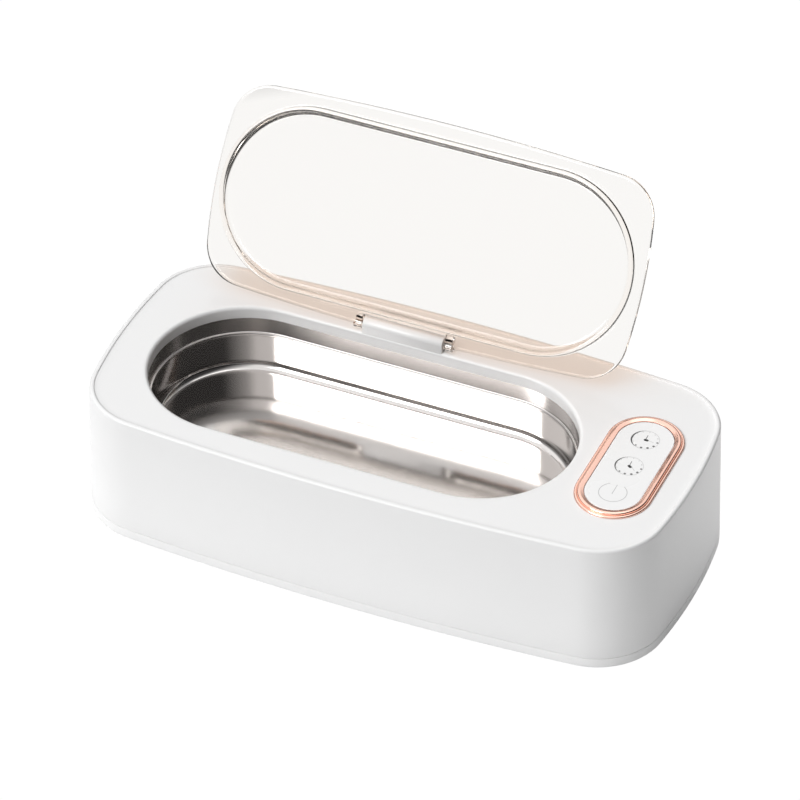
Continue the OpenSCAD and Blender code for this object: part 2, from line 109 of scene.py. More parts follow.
# Hinge and lid
BLOCK_L = 29.3
BLOCK_R = 2.4
LID_T = 2.8
LID_GAP = 0.3
LID_W = 73.6
LID = {"l": 155.6, "w": LID_W, "corner": 14.2, "end_bow": 3.7, "side_bow": 3.0}
LID_C = Vector((HINGE.x + 0.8, HINGE.y + 0.9 - LID_W / 2, 0))
LID_Z = DECK_Z + LID_GAP
RIB_H = 2.4
LUG_W = 2.6
LUG_GAP = 0.35


# ---------------------------------------------------------------------------------------------
# Outlines
# ---------------------------------------------------------------------------------------------

def along(angle):
    """Unit vector at an angle from +X."""
    return Vector((math.cos(angle), math.sin(angle)))


def arc_r(half_chord, rise):
    """Radius of the arc that rises by rise over twice half_chord."""
    return (half_chord ** 2 + rise ** 2) / (2 * rise)


def bowed(shape, inset=0.0, steps=(10, 14, 16)):
    """Outline with bowed sides and round corners, counter-clockwise from the right end's middle.

    One quarter is an end arc, a corner arc tangent to both, and a side arc; it is mirrored twice.
    """
    half = Vector((shape["l"] / 2, shape["w"] / 2))
    corner = shape["corner"]
    end_r, side_r = arc_r(half.y, shape["end_bow"]), arc_r(half.x, shape["side_bow"])
    side_c, end_c = Vector((0, half.y - side_r)), Vector((half.x - end_r, 0))
    a, b = side_r - corner, end_r - corner
    d = (end_c - side_c).length
    q = (a * a - b * b + d * d) / (2 * d)
    u = (end_c - side_c) / d
    c = side_c + q * u + math.sqrt(a * a - q * q) * Vector((u.y, -u.x))
    to_end = math.atan2(c.y - end_c.y, c.x - end_c.x)
    to_side = math.atan2(c.y - side_c.y, c.x - side_c.x)
    n_end, n_corner, n_side = steps
    ends = [to_end * (i + 0.5) / n_end for i in range(n_end)]
    turns = [to_end + (to_side - to_end) * i / n_corner for i in range(n_corner + 1)]
    sides = [to_side + (math.pi / 2 - to_side) * (i + 0.5) / n_side for i in range(n_side)]
    quarter = [end_c + (end_r - inset) * along(a) for a in ends]
    quarter += [c + (corner - inset) * along(a) for a in turns]
    quarter += [side_c + (side_r - inset) * along(a) for a in sides]
    flips = [(1, 1), (-1, 1), (-1, -1), (1, -1)]
    return [Vector((sx * p.x, sy * p.y)) for k, (sx, sy) in enumerate(flips)
            for p in (quarter if k % 2 == 0 else quarter[::-1])]


def stadium(half, r, steps=28, side_steps=8, turned=False):
    """Outline of a stadium along X, or along Y when turned."""
    points = []
    round_end = [along(math.pi * (i / steps - 0.5)) for i in range(steps + 1)]
    for s in (1, -1):
        points += [Vector((s * half, 0)) + s * r * a for a in round_end]
        points += [Vector((s * half * (1 - 2 * i / side_steps), s * r)) for i in range(1, side_steps)]
    return [Vector((-p.y, p.x)) for p in points] if turned else points


def circle(r, steps=32, centre=(0, 0)):
    return [Vector(centre) + r * along(2 * math.pi * i / steps) for i in range(steps)]


def offset(outline, d):
    """Moves an outline outwards by d, keeping its number of points."""
    moved = []
    for i, p in enumerate(outline):
        before, after = p - outline[i - 1], outline[(i + 1) % len(outline)] - p
        side_before = Vector((before.y, -before.x)).normalized()
        side_after = Vector((after.y, -after.x)).normalized()
        n = (side_before + side_after).normalized()
        lean = max(0.4, n.dot(side_after))
        moved.append(p + n * d / lean)
    return moved


def rounded(outline, radii, steps=5):
    """Rounds the corners of a short outline, each by its own radius; 0 keeps the corner."""
    points = []
    for i, (p, r) in enumerate(zip(outline, radii)):
        if r <= 0:
            points.append(p.copy())
            continue
        u, v = (outline[i - 1] - p).normalized(), (outline[(i + 1) % len(outline)] - p).normalized()
        half = u.angle(v) / 2
        start, end = p + u * r / math.tan(half), p + v * r / math.tan(half)
        c = p + (u + v).normalized() * r / math.sin(half)
        turn = (start - c).angle_signed(end - c)
        points += [c + Matrix.Rotation(-turn * k / steps, 2) @ (start - c) for k in range(steps + 1)]
    return points


def quarter_arc(start, end, bulge_to, steps=6):
    """Points of a quarter ellipse from start to end, bulging towards the corner bulge_to."""
    s, e, k = Vector(start), Vector(end), Vector(bulge_to)
    c = s + e - k
    return [tuple(c + (s - c) * math.cos(t) + (e - c) * math.sin(t))
            for t in (math.pi / 2 * i / steps for i in range(steps + 1))]


# ---------------------------------------------------------------------------------------------
# Meshes
# ---------------------------------------------------------------------------------------------

class Builder:
    """Collects rings and caps of one piece in millimetres, then makes it an object in metres."""

    def __init__(self, place=None):
        self.bm = bmesh.new()
        self.place = place or Matrix()

    def points(self, positions):
        return [self.bm.verts.new(self.place @ Vector(p) * MM) for p in positions]

    def ring(self, outline, z, centre):
        """Loop of points for an outline laid level at z round a centre."""
        return self.points([(p.x + centre[0], p.y + centre[1], z) for p in outline])

    def bridge(self, a, b):
        n = len(a)
        for i in range(n):
            self.bm.faces.new((a[i], a[(i + 1) % n], b[(i + 1) % n], b[i]))

    def loft(self, rings, closed=False):
        rings = [*rings, rings[0]] if closed else rings
        for a, b in zip(rings, rings[1:]):
            self.bridge(a, b)

    def cap(self, outer, *holes, axes="xyz"):
        """Flat face in a loop, with holes; axes puts the two that it lies along first."""
        if not holes:
            self.bm.faces.new(outer)
            return
        loops = [outer, *holes]
        flat = [v for loop in loops for v in loop]
        inverse = self.place.inverted()
        laid = [[getattr(inverse @ (v.co / MM), axes) for v in loop] for loop in loops]
        for tri in tessellate_polygon(laid):
            corners = [flat[i] for i in tri]
            if len(set(corners)) == 3:
                self.bm.faces.new(corners)

    def finish(self, name, smooth=30):
        bmesh.ops.recalc_face_normals(self.bm, faces=self.bm.faces)
        mesh = bpy.data.meshes.new(name)
        self.bm.to_mesh(mesh)
        self.bm.free()
        mesh.shade_smooth()
        mesh.set_sharp_from_angle(angle=math.radians(smooth))
        piece = bpy.data.objects.new(name, mesh)
        bpy.context.scene.collection.objects.link(piece)
        return piece


def combined(piece, others, operation, smooth=30):
    """Cuts or joins other pieces with this one, and removes them."""
    for other in others:
        m = piece.modifiers.new("cut", "BOOLEAN")
        m.operation, m.solver, m.object = operation, "EXACT", other
    bpy.context.view_layer.update()
    evaluated = piece.evaluated_get(bpy.context.evaluated_depsgraph_get())
    mesh = bpy.data.meshes.new_from_object(evaluated)
    piece.modifiers.clear()
    old, piece.data = piece.data, mesh
    mesh.name = piece.name
    bpy.data.meshes.remove(old)
    for other in others:
        data = other.data
        bpy.data.objects.remove(other)
        bpy.data.meshes.remove(data)
    mesh.shade_smooth()
    mesh.set_sharp_from_angle(angle=math.radians(smooth))
    return piece


def dress(piece, body, slot, look, *replaced):
    """Gives a piece its material and body, and hides the nodes that it stands in for; slot is not used.
    """
    piece.data.materials.clear()
    piece.data.materials.append(look)
    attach(piece, body)
    if replaced:
        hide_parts(*replaced)
    return piece


# ---------------------------------------------------------------------------------------------
# Materials
# ---------------------------------------------------------------------------------------------

def ranged(tree, source, start, end, low=0.0, high=1.0):
    """Output of a Map Range node that turns start to end into low to high."""
    r = tree.nodes.new("ShaderNodeMapRange")
    for socket, value in zip(("From Min", "From Max", "To Min", "To Max"), (start, end, low, high)):
        r.inputs[socket].default_value = value
    tree.links.new(source, r.inputs["Value"])
    return r.outputs["Result"]


def mixed(tree, factor, first, second):
    """Output of a Mix Shader node."""
    mix = tree.nodes.new("ShaderNodeMixShader")
    tree.links.new(factor, mix.inputs["Fac"])
    tree.links.new(first, mix.inputs[1])
    tree.links.new(second, mix.inputs[2])
    return mix.outputs["Shader"]


def calculated(tree, operation, first, second):
    """Output of a Math node."""
    both = tree.nodes.new("ShaderNodeMath")
    both.operation = operation
    tree.links.new(first, both.inputs[0])
    tree.links.new(second, both.inputs[1])
    return both.outputs["Value"]


def material(name, color, roughness, metallic=0.0, grain=900.0, bump=0.02, tone=0.03,
             stretch=(1, 1, 1), **sockets):
    """Principled material with noise in its tone, roughness and relief.

    grain is the finest noise in cycles per metre, and tone the share by which the colour varies.
    """
    m = bpy.data.materials.new(name)
    m.use_nodes = True
    tree = m.node_tree
    nodes, links = tree.nodes, tree.links
    shader = nodes["Principled BSDF"]
    shader.inputs["Metallic"].default_value = metallic
    for socket, value in sockets.items():
        shader.inputs[socket.replace("_", " ")].default_value = value
    place = nodes.new("ShaderNodeTexCoord")
    scale = nodes.new("ShaderNodeMapping")
    scale.inputs["Scale"].default_value = stretch
    links.new(place.outputs["Object"], scale.inputs["Vector"])

    def noise(frequency, detail):
        n = nodes.new("ShaderNodeTexNoise")
        n.inputs["Scale"].default_value = frequency
        n.inputs["Detail"].default_value = detail
        links.new(scale.outputs["Vector"], n.inputs["Vector"])
        return n.outputs["Fac"]

    broad, fine = noise(grain / 40, 3), noise(grain, 2)
    shade = nodes.new("ShaderNodeMix")
    shade.data_type = "RGBA"
    shade.inputs["A"].default_value = (*[c * (1 - tone) for c in color], 1)
    shade.inputs["B"].default_value = (*[min(1, c * (1 + tone)) for c in color], 1)
    links.new(ranged(tree, broad, 0.3, 0.7), shade.inputs["Factor"])
    links.new(shade.outputs["Result"], shader.inputs["Base Color"])
    worn = ranged(tree, broad, 0.3, 0.7, roughness * 0.9, roughness * 1.1)
    links.new(worn, shader.inputs["Roughness"])
    if bump:
        relief = nodes.new("ShaderNodeBump")
        relief.inputs["Strength"].default_value = bump
        relief.inputs["Distance"].default_value = 0.0002
        links.new(fine, relief.inputs["Height"])
        links.new(relief.outputs["Normal"], shader.inputs["Normal"])
    return m


def clear_material(name, tint, density, shade):
    """Clear plastic. It tints what is seen through it by the length of the way, and lamps and soft
    light pass through it with the colour shade."""
    m = material(name, (1, 1, 1), 0.01, grain=600, bump=0.0, tone=0.0, IOR=1.49,
                 Transmission_Weight=1.0)
    tree = m.node_tree
    nodes, links = tree.nodes, tree.links
    out = nodes["Material Output"]
    absorb = nodes.new("ShaderNodeVolumeAbsorption")
    absorb.inputs["Color"].default_value = (*tint, 1)
    absorb.inputs["Density"].default_value = density
    links.new(absorb.outputs["Volume"], out.inputs["Volume"])
    way = nodes.new("ShaderNodeLightPath")
    through = nodes.new("ShaderNodeBsdfTransparent")
    through.inputs["Color"].default_value = (*shade, 1)
    soft = calculated(tree, "MAXIMUM", way.outputs["Is Shadow Ray"], way.outputs["Is Diffuse Ray"])
    surface = mixed(tree, soft, nodes["Principled BSDF"].outputs["BSDF"], through.outputs["BSDF"])
    links.new(surface, out.inputs["Surface"])
    return m


def drawn_steel(name, color, polish, satin):
    """Polished inside the bath, with a satin band above the bead."""
    m = material(name, color, polish, 1.0, grain=260, bump=0.05, tone=0.02, stretch=(1, 1, 0.25))
    tree = m.node_tree
    place = tree.nodes.new("ShaderNodeNewGeometry")
    split = tree.nodes.new("ShaderNodeSeparateXYZ")
    tree.links.new(place.outputs["Position"], split.inputs["Vector"])
    bead = (DECK_Z - BEAD_DEPTH) * MM
    band = ranged(tree, split.outputs["Z"], bead, bead + 0.001, polish, satin)
    tree.links.new(band, tree.nodes["Principled BSDF"].inputs["Roughness"])
    return m


# Colour, roughness, metallic, grain and bump of each slot, then whatever else differs
SURFACES = {
    "white_plastic": ((0.80, 0.80, 0.80), 0.32, 0.0, 1500, 0.03,
                      {"tone": 0.004, "Specular_IOR_Level": 0.5, "Coat_Weight": 0.15,
                       "Coat_Roughness": 0.12}),
    "grey_rubber": ((0.06, 0.06, 0.062), 0.75, 0.0, 2500, 0.25, {}),
    "screw_steel": ((0.62, 0.62, 0.63), 0.28, 1.0, 1500, 0.08, {}),
    "white_silicone": ((0.72, 0.72, 0.70), 0.6, 0.0, 1500, 0.1, {}),
    "silvered_ceramic": ((0.66, 0.64, 0.60), 0.45, 0.8, 3000, 0.15, {}),
    "wire_insulation": ((0.45, 0.03, 0.02), 0.45, 0.0, 1500, 0.05, {}),
    "circuit_board": ((0.01, 0.11, 0.04), 0.35, 0.0, 1200, 0.15, {"tone": 0.25}),
    "ferrite": ((0.045, 0.045, 0.05), 0.7, 0.0, 3000, 0.3, {}),
    "winding_tape": ((0.62, 0.42, 0.05), 0.4, 0.0, 700, 0.2, {"stretch": (1, 1, 6)}),
    "copper_wire": ((0.72, 0.28, 0.1), 0.25, 1.0, 3000, 0.4, {"stretch": (6, 6, 1)}),
    "capacitor_sleeve": ((0.012, 0.018, 0.07), 0.35, 0.0, 1200, 0.06, {}),
    "yellow_epoxy": ((0.7, 0.42, 0.02), 0.3, 0.0, 1800, 0.12, {}),
    "black_epoxy": ((0.015, 0.015, 0.015), 0.5, 0.0, 3500, 0.3, {}),
    "heat_sink_aluminium": ((0.7, 0.71, 0.72), 0.35, 1.0, 900, 0.1, {"stretch": (1, 1, 0.1)}),
    "fuse_brown": ((0.10, 0.03, 0.012), 0.35, 0.0, 1200, 0.05, {}),
    "connector_nylon": ((0.72, 0.68, 0.55), 0.45, 0.0, 1500, 0.1, {}),
    "black_plastic": ((0.02, 0.02, 0.021), 0.42, 0.0, 3000, 0.25, {}),
    "plated_brass": ((0.7, 0.68, 0.64), 0.2, 1.0, 1200, 0.05, {}),
    "panel_white": ((0.83, 0.83, 0.83), 0.28, 0.0, 1500, 0.02, {"tone": 0.004}),
    "rose_gold": ((1.0, 0.63, 0.52), 0.16, 1.0, 700, 0.0, {"tone": 0.02}),
    "spring_steel": ((0.6, 0.6, 0.58), 0.25, 1.0, 1500, 0.05, {}),
    "light_epoxy": ((0.85, 0.82, 0.55), 0.2, 0.0, 900, 0.02, {}),
    "pin_steel": ((0.62, 0.62, 0.62), 0.2, 1.0, 1500, 0.08, {}),
}
LOOKS = {
    slot: material(slot, color, roughness, metallic, grain, bump, **more)
    for slot, (color, roughness, metallic, grain, bump, more) in SURFACES.items()
}
LOOKS["polished_steel"] = drawn_steel("polished_steel", (0.64, 0.615, 0.60), 0.11, 0.22)
LOOKS["clear_lid"] = clear_material("clear_lid", (0.855, 0.488, 0.1125), 27.0, (0.94, 0.87, 0.82))
# Grey inks for the symbols; the mid tone also paints the shade on the dials' rims.
INK_AND_PAINTED_SHADE = {
    tone: material("ink_" + tone, (value, value, value), 0.5, grain=2000, bump=0.05)
    for tone, value in (("dark", 0.03), ("mid", 0.15), ("light", 0.50))
}

for entry in record["subparts"]:
    for data_slot in frame["nodes"][entry["node"]].material_slots:
        data_slot.material = LOOKS[entry["material_slot"]]


# ---------------------------------------------------------------------------------------------
# Housing
# ---------------------------------------------------------------------------------------------

RIM_W = 1.75
RIM_ROUND = 1.0
DECK_FILLET = 2.2
EDGE_ROUND = 1.3
PARTING = 0.36


def housing_outside():
    """Profile of (inset, height) from the parting line up the wall, over the rim, to the deck."""
    profile = [(PARTING - FLARE, SPLIT_Z), (0.08 - FLARE, SPLIT_Z + 0.1), (-FLARE, SPLIT_Z + PARTING)]
    wall_top = RIM_Z - RIM_ROUND
    rise = wall_top - SPLIT_Z - PARTING
    steps = 6
    for t in range(1, steps):
        profile.append((-FLARE * (1 - t / steps), SPLIT_Z + PARTING + rise * t / steps))
    profile += quarter_arc((0, wall_top), (RIM_ROUND, RIM_Z), (0, RIM_Z), 8)
    profile += quarter_arc((RIM_W - 0.5, RIM_Z), (RIM_W - 0.1, RIM_Z - 0.2), (RIM_W - 0.1, RIM_Z), 4)
    fillet_end = RIM_W + DECK_FILLET
    profile += quarter_arc((RIM_W, RIM_Z - 0.3), (fillet_end, DECK_Z), (RIM_W + 0.1, DECK_Z), 8)
    profile.append((fillet_end + 0.6, DECK_Z))
    return profile


def make_housing():
    """White case: wall, rim, deck, collar round the bath, pocket for the panel and the inlet's hole."""
    b = Builder()
    body, bath, panel = BODY_C.xy, BATH_C.xy, PANEL_C.xy
    outside = [b.ring(bowed(BODY, i), z, body) for i, z in housing_outside()]
    b.loft(outside)

    collar_z = DECK_Z - COLLAR_H
    edge_r = BATH_R + EDGE_ROUND
    mouth = [(edge_r + 0.5, DECK_Z)]
    mouth += quarter_arc((edge_r, DECK_Z), (BATH_R, DECK_Z - EDGE_ROUND), (BATH_R, DECK_Z), 8)
    mouth += quarter_arc((BATH_R, collar_z + 0.4), (BATH_R + 0.4, collar_z), (BATH_R, collar_z), 3)
    mouth += [(BATH_R + WALL, collar_z), (BATH_R + WALL, DECK_Z - DECK_T)]
    mouth = [b.ring(stadium(BATH_HALF, r, 40), z, bath) for r, z in mouth]
    b.loft(mouth)

    pocket_shape = stadium(PANEL_HALF, RING_R, turned=True)
    pocket = [b.ring(pocket_shape, z, panel) for z in (DECK_Z, ring_lo.z)]
    b.loft(pocket)
    b.cap(pocket[-1])
    b.cap(outside[-1], mouth[0], pocket[0])

    inside = [(WALL, DECK_Z - DECK_T), (WALL - FLARE, SPLIT_Z)]
    inside = [b.ring(bowed(BODY, i), z, body) for i, z in inside]
    b.loft(inside)
    b.bridge(inside[-1], outside[0])
    b.cap(inside[0], mouth[-1])
    shell = b.finish("housing_shell")

    cut = Builder()
    depth = (inlet_lo.y - 1, housing_hi.y + 5)
    centre = (inlet_lo + inlet_hi) / 2
    inlet_half, inlet_r = 4.3, 5.7
    shape = stadium(inlet_half, inlet_r, 20, 2)
    rings = [cut.points([(centre.x + p.x, y, centre.z + p.y) for p in shape]) for y in depth]
    cut.loft(rings)
    cut.cap(rings[0])
    cut.cap(rings[1])
    combined(shell, [cut.finish("inlet_hole")], "DIFFERENCE")
    return dress(shell, "body", "white_plastic", LOOKS["white_plastic"], "housing")


make_housing()


def make_hinge_block():
    """White bar that holds the pins, with a rounded top and soft ends."""
    bottom = DECK_Z - 0.6 - HINGE.z
    steps = 24
    section = [Vector((-BLOCK_R, bottom))]
    section += [BLOCK_R * along(math.pi * (1 - i / steps)) for i in range(steps + 1)]
    section += [Vector((BLOCK_R, bottom))]
    soft = 0.35
    left = [(x - BLOCK_L / 2, inset) for x, inset in ((0, soft), (0.1, 0.12), (soft, 0))]
    right = [(-x, inset) for x, inset in reversed(left)]
    b = Builder()
    made = []
    for x, inset in left + right:
        shrink = 1 - inset / BLOCK_R
        shape = [(p.x * shrink, p.y * (shrink if p.y > 0 else 1)) for p in section]
        made.append(b.points([(HINGE.x + x, HINGE.y + y, HINGE.z + z) for y, z in shape]))
    b.loft(made)
    b.cap(made[0])
    b.cap(made[-1])
    return dress(b.finish("hinge_block"), "body", "white_plastic", LOOKS["white_plastic"], "housing")


make_hinge_block()


# ---------------------------------------------------------------------------------------------
# Base cover
# ---------------------------------------------------------------------------------------------

def corners(node, reach):
    """Four centres of round parts, from the node's box and the parts' radius."""
    lo, hi = box_mm(node)
    c, half = (lo + hi) / 2, (hi - lo) / 2
    x, y = half.x - reach, half.y - reach
    return [Vector((c.x + sx * x, c.y + sy * y)) for sx in (-1, 1) for sy in (-1, 1)]


FOOT_R = 5.5
SCREW_HEAD_R = 2.8
SCREW_R = 1.45


def make_base_cover():
    """Cover with a rounded lower edge, a lip inside the housing, foot recesses and screw wells."""
    b = Builder()
    low, floor_z = base_lo.z, base_lo.z + 2.4
    r = 1.0
    profile = quarter_arc((r - FLARE, low), (-FLARE, low + r), (-FLARE, low), 6)
    seam = SPLIT_Z - 0.02
    profile += [(-FLARE, SPLIT_Z - PARTING), (0.08 - FLARE, SPLIT_Z - 0.1), (PARTING - FLARE, seam)]
    lip, lip_t, lip_top = WALL - FLARE + 0.25, 1.4, SPLIT_Z + 2
    profile += [(lip, seam), (lip, lip_top), (lip + lip_t, lip_top), (lip + lip_t, floor_z)]
    rings = [b.ring(bowed(BODY, i), z, BODY_C.xy) for i, z in profile]
    b.loft(rings)
    under, inside = [rings[0]], [rings[-1]]
    for c in corners("rubber_feet", FOOT_R):
        recess = [b.ring(circle(FOOT_R, 40), z, c) for z in (low, low + 1)]
        b.loft(recess)
        b.cap(recess[1])
        under.append(recess[0])
    seat, top = low + 2.4, low + 4.4
    well_r, hole_r, boss_r = SCREW_HEAD_R + 0.4, SCREW_R + 0.25, 4.5
    well_profile = [(well_r + 0.15, low), (well_r, low + 0.15), (well_r, seat), (hole_r, seat)]
    well_profile += [(hole_r, top), (boss_r, top), (boss_r, floor_z)]
    for c in corners("base_screws", SCREW_HEAD_R):
        well = [b.ring(circle(radius, 32), z, c) for radius, z in well_profile]
        b.loft(well)
        under.append(well[0])
        inside.append(well[-1])
    b.cap(*under)
    b.cap(*inside)
    return dress(b.finish("lower_cover"), "body", "white_plastic", LOOKS["white_plastic"], "base_cover")


make_base_cover()


# ---------------------------------------------------------------------------------------------
# Tank
# ---------------------------------------------------------------------------------------------

def make_tank():
    """Drawn tank: flange, upstand, plain band, a step at the bead, wall, round corner and floor."""
    top = tank_hi.z
    band_r = BATH_R + 0.35
    wall_r = BATH_R - 0.6
    round_r = 3.2
    bead_z = DECK_Z - BEAD_DEPTH
    stand_t, stand_top = 0.22, top + 0.76
    inner = [(TANK_FLANGE, top), (band_r + stand_t, top)]
    inner += [(band_r + stand_t, stand_top), (band_r, stand_top)]
    step_r, step_z = band_r - 0.45, bead_z + 0.75
    inner += quarter_arc((step_r, step_z + 0.35), (step_r - 0.35, step_z), (step_r, step_z), 4)
    bead_r, high, low = wall_r - 0.35, bead_z + 0.7, bead_z - 0.6
    inner += quarter_arc((bead_r + 0.2, high), (bead_r, high - 0.35), (bead_r, high), 4)
    inner += quarter_arc((bead_r, bead_z + 0.1), (wall_r, low), (wall_r - 0.2, low), 5)
    inner += quarter_arc((wall_r - 0.1, TANK_FLOOR + round_r), (wall_r - round_r, TANK_FLOOR),
                         (wall_r, TANK_FLOOR), 12)
    inner.append((wall_r - round_r - 1.0, TANK_FLOOR))
    b = Builder()
    rings = [b.ring(stadium(BATH_HALF, r, 48), z, BATH_C.xy) for r, z in inner]
    b.loft(rings)
    b.cap(rings[-1])
    band_out, wall_out, under = band_r + TANK_T, wall_r + TANK_T, TANK_FLOOR - TANK_T
    outer = [(TANK_FLANGE, top - TANK_T), (band_out + 0.6, top - TANK_T), (band_out, top - 1.2)]
    outer += [(band_out, bead_z), (wall_out, bead_z - 1.2)]
    outer += quarter_arc((wall_out, TANK_FLOOR + round_r), (wall_r - round_r, under),
                         (wall_out, under), 8)
    outer = [b.ring(stadium(BATH_HALF, r, 48), z, BATH_C.xy) for r, z in outer]
    b.bridge(rings[0], outer[0])
    b.loft(outer)
    b.cap(outer[-1])
    return dress(b.finish("bath_tank"), "body", "polished_steel", LOOKS["polished_steel"], "tank")


make_tank()


# ---------------------------------------------------------------------------------------------
# Control panel
# ---------------------------------------------------------------------------------------------

def make_ring():
    """Plated ring: a broad slope inside, a round ridge, a groove and a smaller bead at its foot."""
    inner, outer = PANEL_R + 0.1, RING_R - 0.05

    def crown(r, height, half, rise, start):
        angles = [math.radians(a) for a in range(start, 91, 10)]
        return [(r + half * math.sin(a), height + rise * math.cos(a)) for a in angles]

    profile = [(inner, 0.8), (inner, 0.98), (inner + 0.04, 1.04), (inner + 0.1, 1.06)]
    profile += [(inner + 0.18, 1.08), (inner + 0.95, 1.3)]
    profile += crown(11.2, 0.92, 0.78, 0.46, -20)
    profile += [(11.98, 0.8), (11.98, 0.62), (12.0, 0.56), (12.03, 0.52)]
    profile += crown(12.55, 0.26, 0.55, 0.42, -50)
    profile.append((outer, 0.1))
    profile = [(r, DECK_Z + height) for r, height in profile]
    profile = [(inner, ring_lo.z), *profile, (outer, ring_lo.z)]
    b = Builder()
    rings = [b.ring(stadium(PANEL_HALF, r, 40, turned=True), z, PANEL_C.xy) for r, z in profile]
    b.loft(rings, closed=True)
    return dress(b.finish("plated_ring", 40), "body", "rose_gold", LOOKS["rose_gold"], "panel_ring")


def make_panel():
    """White touch panel with a soft edge, a hair inside the ring."""
    b = Builder()
    soft = 0.25
    profile = [(PANEL_R, ring_lo.z + 0.05)]
    profile += quarter_arc((PANEL_R, PANEL_TOP - soft), (PANEL_R - soft, PANEL_TOP),
                           (PANEL_R, PANEL_TOP), 4)
    profile.append((PANEL_R - 0.6, PANEL_TOP))
    rings = [b.ring(stadium(PANEL_HALF - 0.1, r, 32, turned=True), z, PANEL_C.xy) for r, z in profile]
    b.loft(rings)
    b.cap(rings[0])
    b.cap(rings[-1])
    return dress(b.finish("touch_panel"), "body", "panel_white", LOOKS["panel_white"], "control_panel")


INK_T = 0.02


def prints_and_painted_shade(name, shapes, ink):
    """Thin shapes on the panel: the symbols' print, and the dials' painted shade; each shape is an
    outline, or an outline with a hole.
    """
    b = Builder()
    for outline, hole in shapes:
        loops = []
        for shape in [outline] + ([hole] if hole else []):
            low, high = (b.ring(shape, z, PANEL_C.xy) for z in (PANEL_TOP, PANEL_TOP + INK_T))
            b.bridge(low, high)
            loops.append((low, high))
        for level in zip(*loops):
            b.cap(*level)
    return dress(b.finish(name), "body", "panel_white", INK_AND_PAINTED_SHADE[ink])


def arc_band(r, start, end, width, centre, steps=40):
    """Curved band of one width, or of a width given along it from 0 to 1."""
    outer, inner = [], []
    for i in range(steps + 1):
        t = i / steps
        a = math.radians(start + (end - start) * t)
        w = width(t) if callable(width) else width
        outer.append(Vector(centre) + (r + w / 2) * along(a))
        inner.append(Vector(centre) + (r - w / 2) * along(a))
    return outer + inner[::-1]


def bar(start, end, width, centre):
    """Straight bar with round ends."""
    s, e = Vector(start), Vector(end)
    n = (e - s).normalized()
    side = Vector((-n.y, n.x)) * width / 2
    half_turn = [math.pi * (i / 8 - 0.5) for i in range(9)]
    tip = [e + n * math.cos(a) * width / 2 + side * math.sin(a) for a in half_turn]
    tail = [s - n * math.cos(a) * width / 2 - side * math.sin(a) for a in half_turn]
    return [p + Vector(centre) for p in tip + tail]


def make_symbols():
    """Two clock dials, whose marks swell on one side and whose rims swell on the left into a band of
    painted shade, as in an engraved groove, and a power sign.
    """
    dark, mid, light = [], [], []
    for y, hand, swell in zip(KEY_Y[:2], (-4, -34), (0.55, 0.45)):
        c = Vector((0, y))
        light.append((circle(KEY_R + 0.07, 72, c), circle(KEY_R - 0.07, 72, c)))
        # Painted shade: a mid-grey band that thickens on the rim's left side, where an engraved groove
        # would lie in shade.
        painted_groove_shade = arc_band(KEY_R, 95, 265, lambda t: 0.04 + swell * math.sin(math.pi * t) ** 2, c)
        mid.append((painted_groove_shade, None))
        for k in range(12):
            a = math.radians(30 * k + 1)
            strong = max(0, math.cos(a + 0.9))
            spot = circle(0.19 + 0.26 * strong ** 0.7, 12, c + (KEY_R - 0.5) * along(a))
            (mid if strong > 0.25 else light).append((spot, None))
        pointing = along(math.radians(hand))
        mid.append((bar((0, 0.3), 2.4 * along(math.radians(92)), 0.26, c), None))
        light.append((bar((0.8, 0), 2.9 * pointing, 0.16, c), None))
        dark.append((bar(-0.1 * pointing, 0.6 * pointing, 1.0, c), None))
    c, gap = Vector((0, KEY_Y[2])), 32
    light.append((arc_band(KEY_R, 90 + gap, 450 - gap, 0.24, c, 64), None))
    light.append((bar((0, -0.7), (0, 4.0), 0.24, c), None))
    prints_and_painted_shade("dial_hands", dark, "dark")
    # The mid-tone shapes hold the dials' marks and their painted shade.
    prints_and_painted_shade("dial_marks_and_painted_shade", mid, "mid")
    prints_and_painted_shade("dial_rims", light, "light")


make_ring()
make_panel()
make_symbols()


# ---------------------------------------------------------------------------------------------
# Lid
# ---------------------------------------------------------------------------------------------

RIB_R = 31.6
RIB_HALF = 43.15
RIB_T = 1.8
RIB_C = BATH_C.xy + Vector((0.45, -0.6))
# The lid is drawn closed and turned open about the hinge, where it rests
TO_HINGE = Matrix.Translation(HINGE)
OPEN = TO_HINGE @ Matrix.Rotation(-LID_TRAVEL, 4, "X") @ TO_HINGE.inverted()


def lid_outline():
    """Bowed outline with the notch for the hinge at its back."""
    half = BLOCK_L / 2 + LUG_GAP + LUG_W
    notch_y = HINGE.y - LID_C.y - BLOCK_R - 0.45
    points = bowed(LID, 0, (8, 14, 24))
    back = [p for p in points if p.y > 0 and abs(p.x) < half]
    edge_y = sum(p.y for p in back) / len(back)
    clear = half + 1.6
    first = next(i for i, p in enumerate(points) if p.y > 0 and p.x < clear)
    last = max(i for i, p in enumerate(points) if p.y > 0 and p.x > -clear)
    step = [(half, edge_y), (half, notch_y), (-half, notch_y), (-half, edge_y)]
    step = [points[first - 1], *map(Vector, step), points[last + 1]]
    notch = rounded(step, [0, 1.2, 0.9, 0.9, 1.2, 0])[1:-1]
    return points[:first] + notch + points[last + 1:]


